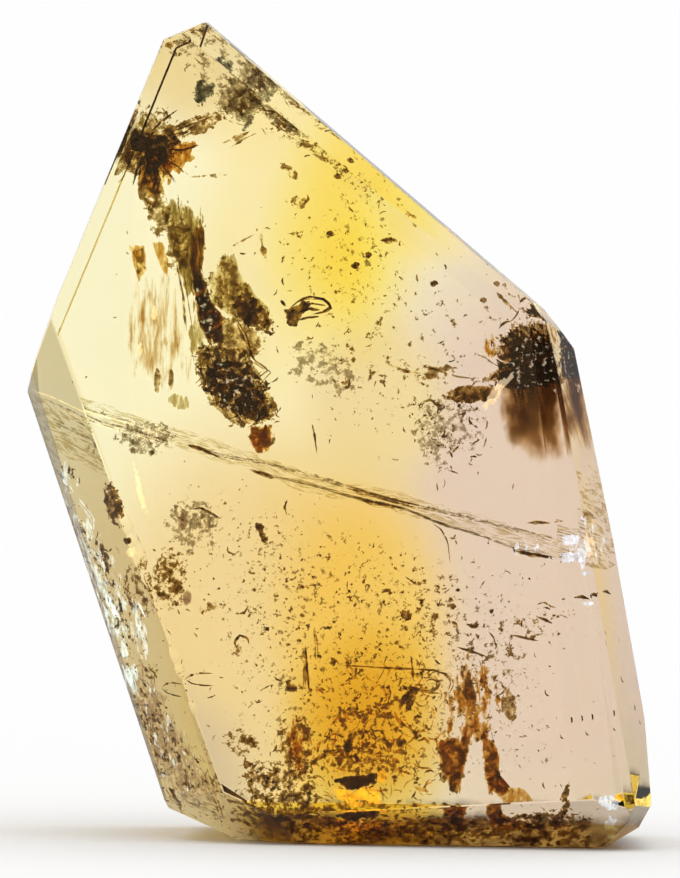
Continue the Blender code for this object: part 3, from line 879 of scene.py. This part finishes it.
# -------- golden tangle and plume
# Low in the crystal a nest of rusty strokes lies in the gold, with a painted golden glow in it,
# and beside it stands a plume of amber films with a pale wedge between them.
TANGLE = [
    (-1.2, 12.2), (6.9, 13), (8.2, 10.8), (8.2, 6.3), (7.5, 3.3), (4.8, 2.5), (-1, 2.9), (-2.2, 6.1),
    (-2, 9.5),
]
TANGLE_LINES = [
    [(-2.4, 14.4), (-2.2, 12.7), (-2, 10.9)], [(-2.6, 14.1), (-2.4, 12.8), (-2.5, 11)],
    [(-1.8, 15.6), (-1.6, 14.3), (-1.6, 13.1)], [(0.3, 12.9), (3, 12.8), (5.2, 12.7), (7.6, 12.7)],
    [(6.4, 12.3), (6.9, 12.7), (7.8, 12.5), (8.4, 11.8), (8.1, 11.1)],
    [(6.4, 11.8), (6.9, 12.1), (7.5, 11.8), (7.3, 11.2), (6.6, 11.2)],
    [(4.4, 11.2), (5.4, 11.5), (6.5, 11.2), (7.5, 11.1)], [(5.4, 13.7), (5.5, 12.7), (5.6, 11.8)],
    [(5.5, 11.8), (5, 10.7), (4.5, 9.7)], [(-1.9, 5.5), (-1.3, 6), (-0.7, 6.4), (0.4, 6.6)],
]
PLUME = [
    [
        (7, 7.9), (8.1, 8), (9.2, 8.1), (10.1, 9.2), (10.5, 8.1), (9.8, 6.3), (9.5, 4.1), (8.9, 2.9),
        (7.6, 3.9), (7.1, 5.8),
    ],
    [(10.4, 9), (11.4, 8.2), (12.1, 6.8), (12.2, 4.3), (13.7, 3.3), (12.3, 2.9), (11.1, 3.4), (10.6, 5.5)],
    [(8.9, 13.3), (9.7, 13.2), (10.3, 10.8), (10.4, 9.2), (9.6, 9.5), (9.1, 11.1)],
    [(11.8, 4.5), (13.9, 4.3), (14.8, 3.2), (12.1, 2.9)],
]
TANGLE_BAR = [(-0.3, 4.7), (2, 5.1), (3.4, 5.2), (3.3, 4.3), (1.4, 3.7), (-0.1, 3.9)]
TANGLE_PAINTED_GLOW = [(-0.6, 4.1), (0.7, 3.9), (3.3, 4.4), (3.9, 2.7), (1.4, 2.4), (-0.2, 3.1)]

add_veils("tangle_amber", [
    (oval(-2.9, 6.8, 2.2, 3.6), (8, 10), 0.66, 2), (PLUME[0], (8.6, 10), 0.9, 3),
    (PLUME[1], (8.6, 9.6), 0.9, 3), (PLUME[3], 8, 1.1), (oval(10, 10.1, 2.8, 4.6), (9, 11), 0.6),
], 180, AMBER_FILM, commas(TANGLE, 90, (6.5, 12), (0.4, 1.5), (0.06, 0.22), 186))
add_veils("tangle_brown", [
    (TANGLE, 9, 0.52), (oval(2.2, 6.1, 4.6, 2.6), 8, 0.56), (PLUME[2], 9, 1.1), (PLUME[0], 8.4, 0.74),
    (PLUME[1], 8.4, 0.74), (oval(11.3, 12.9, 3.8, 3.6), 6, 0.46), (oval(12.6, 10.3, 0.7, 1.6, -10), 7, 0.9),
    (oval(-3, 6.8, 1.8, 3), 8, 0.6),
], 190, BROWN_FILM, commas(TANGLE, 85, (7, 15), (0.3, 1.3), (0.05, 0.18), 199),
    threads(TANGLE_LINES, (8, 10), (0.08, 0.26), 200, 2, 0.1))
add_veils("tangle_dark", [
    (TANGLE_BAR, (7.4, 7.8), 0.92), (oval(16.7, 3.6, 1.7, 0.35, 110), 3, 0.85),
    (oval(5.4, 10.7, 0.5, 1.6, 20), 7.6, 0.8), (oval(8.7, 4.8, 0.6, 1.5), 8.2, 0.66),
    (oval(1, 6.8, 1.8, 0.5, 60), 7.6, 0.6),
], 205, BLACK_FILM, commas(TANGLE, 40, (7, 11), (0.2, 0.9), (0.05, 0.16), 214))
# Painted glow: a bright gold patch in the tangle gives off light.
add_veils("tangle_painted_glow", [
    (TANGLE_PAINTED_GLOW, 6.8, 0.9), (oval(3.4, 4.9, 0.5, 0.6), 7, 0.95),
], 220, film("bright gold, painted glow", (1, 0.74, 0.1), (0.85, 0.48, 0.03), 900, glow=0.25))

# -------- rusty base
# The foot grew against rusty matrix: brown and olive films crowd behind the bottom bevel, with
# small painted golden reflections between them, and thin out upwards on the left.
BASE_BAND = [(-7.2, 1.9), (18.9, 3.4), (20, 0), (-6.6, -0.7)]
BASE_LEFT_CROWD = [(-7.7, 6.5), (-0.4, 6.6), (-0.1, 1.5), (-6.6, 1.4), (-8, 3)]
BASE_RIGHT_CROWD = [(12, 3.3), (19.2, 3.9), (20, 0), (12.3, -0.1)]
BASE_GLINT = [(18.9, 3.8), (20, 4.2), (20.9, 3.7), (21, 2.9), (20, 2.8), (19.4, 3.2)]

add_veils("base_brown", [
    (BASE_BAND, 1, 0.64), (BASE_LEFT_CROWD, (4, 9), 0.6), (BASE_RIGHT_CROWD, 2, 0.7),
    (oval(4.8, 2.5, 9, 0.9), 5, 0.64), (oval(15.2, 2.7, 3.4, 0.9), 3, 0.7),
    (oval(-2.6, 2.3, 5.2, 0.6), 1.5, 0.85),
], 230, BROWN_FILM, flock(BASE_BAND, 90, (0.3, 3), (0.3, 1.2), (0.06, 0.3), 85, 242, 0.8))
add_veils("base_dark", [(BASE_BAND, 1.4, 0.27), (BASE_LEFT_CROWD, 5, 0.44)], 245, BLACK_FILM)
# Painted reflections: small golden films that glow among the brown.
add_veils("base_painted_reflections", [
    (BASE_BAND, 0.25, 0.36), (BASE_LEFT_CROWD, 3, 0.36),
], 250, film("painted golden reflection", (0.9, 0.7, 0.34), (0.66, 0.42, 0.12), 2600, glow=0.3))
# A painted bluish glint at the right corner of the foot.
add_veils("base_glint", [(BASE_GLINT, 0.4, 0.95), (oval(20.3, 1.6, 0.9, 1.5), 0.5, 0.55)], 253, BLUE_PAINTED_GLINT)

# -------- broken left bevel
# Small cracks run down the broad left bevel from bruises on its edge: silvery slivers with dark
# ends just under the surface, and a mottled mauve patch low on the left. The silvery slivers and
# a cream streak glow: painted glints.
BEVEL_STREAKS = [
    [(-20.8, 26.7), (-20.5, 26.1), (-20, 25.5), (-19.7, 24.5)],
    [(-19.2, 24.8), (-18.6, 24), (-18.1, 23.3), (-18.1, 22.4)],
    [(-18.1, 21.3), (-17.7, 20.7), (-17.4, 20.2)],
    [(-17.2, 19.1), (-17, 18.5), (-16.9, 17.7), (-16.3, 16.5)],
    [(-16.8, 15.5), (-16.3, 14.2), (-15.7, 13.3), (-15.1, 12.3)], [(-14.7, 17.7), (-14.1, 16.4)],
    [(-14.2, 16.3), (-14.7, 14.8), (-14.5, 13.5)], [(-13.2, 14.8), (-13.8, 13.3)],
    [(-15.1, 12.3), (-15.4, 11.1), (-15.7, 10.5)], [(-16.9, 17.7), (-15.9, 15.5), (-15.2, 14)],
]
BEVEL_CRACKED = [
    (-21.2, 27.9), (-19.1, 26), (-16.5, 21.5), (-14.9, 18.1), (-13.4, 14.4), (-13.5, 10.1), (-15.7, 9.6),
    (-17.4, 14), (-18.8, 19), (-20.7, 24.1),
]
BEVEL_LOW = [
    (-17.1, 14), (-14, 14.4), (-11.5, 9.7), (-8.1, 4.1), (-6.7, -0.2), (-9.6, 0.6), (-12.4, 2.1),
    (-14.6, 6.3),
]
CREAM_STREAK = [(-15.4, 28.5), (-14.9, 27.4), (-14.3, 25.2), (-13.7, 23), (-14.4, 23.6), (-15.1, 25.9)]
MAUVE_LINES = [
    [(-11.2, 7.1), (-10.3, 6.5), (-9.2, 5.7)], [(-9.2, 5.7), (-8.6, 4.1), (-8, 1.8)],
    [(-14, 12.9), (-13.3, 12.3), (-13.2, 11.4)], [(-12.2, 9), (-11.3, 8.3)],
    [(-11.7, 4), (-11.2, 3.3), (-10.8, 2.3)],
]

# Painted glints: the silvery slivers of the bevel's cracks glow.
add_veils("bevel_slivers_painted_glint", [
    (BEVEL_CRACKED, 0.4, 0.56), (oval(-15.1, 11.8, 0.9, 1.5, -15), (0.3, 0.5), 0.8),
    (oval(-16.4, 15.8, 0.8, 3.6, -22), 0.4, 0.68), (oval(-14.4, 15.5, 0.7, 3, -8), 0.6, 0.66),
    (oval(-20, 26.6, 1, 1.6, -24), 0.4, 0.6), (BEVEL_LOW, 0.3, 0.36),
], 260, BLUE_PAINTED_GLINT,
    threads(BEVEL_STREAKS, (0.15, 0.4), (0.08, 0.26), 268, 3, 0.12, rough=0.5, tone=(0.7, 0.9)))
add_veils("bevel_dark", [
    (BEVEL_CRACKED, 0.8, 0.46), (oval(-16.5, 24.6, 0.8, 2.2, -16), 0.4, 0.85),
    (oval(-15.4, 22, 0.3, 0.35), 0.7, 1), (oval(-17.1, 20.8, 0.5, 1.8, -24), 0.5, 0.72),
    (BEVEL_LOW, 0.8, 0.37), (oval(-20, 26.7, 0.9, 0.9), 0.4, 0.55),
], 270, BLACK_FILM, commas(BEVEL_CRACKED, 50, (0.4, 1.4), (0.2, 0.8), (0.05, 0.15), 279, 1.2))
add_veils("bevel_bronze", [
    (oval(-12.4, 19.2, 1.7, 3.4), (4, 8), 0.58), (oval(-6.9, 7.3, 1.8, 1.3), (4, 7), 0.58),
    (oval(-13.3, 12.4, 0.7, 0.9), 1, 0.62), (BEVEL_LOW, 1.8, 0.46), (oval(-9.6, 17.1, 0.5, 2, 80), 5, 0.6),
], 280, BROWN_FILM, threads(MAUVE_LINES, (0.8, 3), (0.1, 0.26), 292, 2, 0.12, tone=(0.6, 0.9)))
# Painted glint: a glowing cream streak on the bevel.
add_veils("bevel_cream_painted_glint", [
    (CREAM_STREAK, (1, 1.6), 0.9, 2), (oval(-15.2, 21.1, 0.35, 0.5), 0.4, 0.9),
], 294, PALE_PAINTED_GLINT)
add_veils("bevel_mauve", [
    (BEVEL_LOW, 1, 1, 2), (oval(-11.5, 23.4, 0.5, 0.8), (5, 5.4), 0.95),
    (oval(-11.1, 17.8, 0.4, 0.7), (5, 5.4), 0.95), (oval(-12.8, 10.5, 0.7, 0.6), 1, 0.9),
], 298, film("mauve film", (0.56, 0.47, 0.42), (0.92, 0.86, 0.8), 1500, upright=0.6, edge=0.3))

# -------- specks and hairs
# Everywhere in the lower two thirds, and thinly above, lie rust specks: dots, commas and short
# curved hairs. A few larger ones stand out by themselves.
LOWER_BODY = [
    (-13.5, 28.5), (-1.6, 25.9), (16.4, 21.3), (19.7, 3.6), (-6.3, 2.3), (-10.9, 9.7), (-13.9, 20),
]
UPPER_BODY = [(-8.5, 48.4), (-1.3, 50.7), (8.5, 43.5), (14.5, 39), (13.6, 25), (-3.1, 28.4), (-7.9, 44.7)]
MIDDLE = [(-5.1, 37.6), (0.5, 36.6), (2.7, 33.7), (2.5, 31.9), (-0.9, 32.2), (-4.7, 33.9)]
RIGHT = [(4.5, 33.3), (10, 33.6), (11, 29.1), (7.3, 26.4), (4.3, 28.1)]
CREAM_BODY = [
    (-21.1, 37), (-16.2, 52.7), (-11.8, 57.2), (-8.7, 49.9), (-10.9, 47.6), (-15.8, 29.6), (-19.5, 31.8),
]
HAIRS = [
    [(-9.1, 12.2), (-10.2, 12.2), (-10.8, 12), (-11.2, 11.7)],
    [(-11.1, 11.7), (-10.6, 11.4), (-9.8, 11.3), (-8.9, 11.3)],
    [(6.8, 23.5), (7.4, 23.1), (7.9, 22.2), (8.1, 20.6)],
    [(-7.4, 14.1), (-7.6, 14.6), (-7.2, 15.1), (-6.6, 14.9), (-6.5, 14.4)],
    [(-3.9, 25.1), (-4.1, 24.5), (-3.9, 23.9)], [(-7.3, 16.6), (-6.9, 16.7), (-6.6, 17.2)],
    [(-10.9, 24.2), (-10.2, 24.3), (-9.6, 24), (-8.7, 23.5)], [(11, 15.7), (11.4, 15.2), (11.7, 14.3)],
    [(12.8, 15.5), (13.7, 15.3), (14.7, 15.1)], [(14.5, 16.8), (15.1, 16.6), (15.7, 16.3)],
    [(14.5, 17.7), (15, 17.9), (15.5, 17.6), (15.9, 17.5)], [(16.3, 18.1), (16.9, 18.2), (17.5, 18)],
    [(-8.2, 21.6), (-8.2, 21.2), (-7.7, 21), (-7.3, 21.3)], [(-2.2, 30.6), (-2, 29.8), (-1.8, 28.4)],
    [(4.8, 19.6), (5.4, 19.2), (5.9, 18.9)], [(7, 26.5), (7.1, 25.9)],
    [(8.7, 14.5), (9.8, 14.2), (11, 13.8)],
]
SPOTS = [   # x, z, half width, half height, and lean
    (-5.7, 22.6, 0.4, 1.3, -24), (-3.4, 11.4, 0.5, 0.8, -40), (4.9, 16.8, 0.7, 0.6),
    (8.3, 17.5, 0.35, 0.3), (8.5, 16.1, 0.3, 0.4, -30), (9.9, 16.1, 0.3, 0.6, 80),
    (-13.9, 28.3, 0.25, 0.25), (-9.8, 16.7, 0.4, 0.3), (1.7, 43.1, 0.35, 0.3), (0.7, 42.3, 0.5, 0.3),
    (3.1, 44.1, 0.3, 0.8, 80), (0.2, 33.7, 0.5, 0.6, 30), (-6.4, 5.6, 0.5, 0.4), (-0.7, 48.8, 0.4, 0.3),
    (-1.1, 44.6, 0.4, 0.3), (1.9, 48.4, 0.4, 0.4), (6.5, 41.1, 0.4, 0.3), (10.2, 39.9, 0.4, 0.3, 30),
]

add_veils("specks_dark", [
    (LOWER_BODY, 8, 0.32), (RIGHT, 8, 0.4), *((oval(*spot), 6, 0.8) for spot in SPOTS),
], 310, BLACK_FILM, commas(LOWER_BODY, 105, (1, 21), (0.15, 0.8), (0.05, 0.13), 331),
    commas(CREAM_BODY, 14, (1, 14), (0.1, 0.4), (0.05, 0.12), 330),
    commas(UPPER_BODY, 60, (1, 20), (0.15, 0.7), (0.06, 0.15), 332),
    commas(RIGHT, 30, (6, 12), (0.3, 1), (0.06, 0.15), 333), threads(HAIRS, (4, 8), (0.1, 0.24), 334),
    flock(LOWER_BODY, 110, (1, 21), (0.06, 0.22), (0.05, 0.14), 120, 335, 0.9))
add_veils("specks_brown", [
    (LOWER_BODY, 6, 0.33), (UPPER_BODY, 7, 0.34), (oval(-7.3, 14.2, 0.9, 0.9), 5, 0.5),
    (oval(6, 18.2, 5, 3.4, 60), 7, 0.44), (oval(14.2, 16.1, 1.6, 4.4, 80), 6, 0.48),
], 340, BROWN_FILM)
add_veils("specks_grey", [
    (LOWER_BODY, 9, 0.37), (MIDDLE, 7, 0.58), (oval(0.3, 43.3, 3.6, 6), 8, 0.42), (RIGHT, 7, 0.6),
    (oval(-14.3, 29.4, 3, 1.6), (3, 6), 0.64), (oval(-10.8, 23.1, 2.6, 2.6), (5, 8), 0.6),
], 350, GREY_FILM)
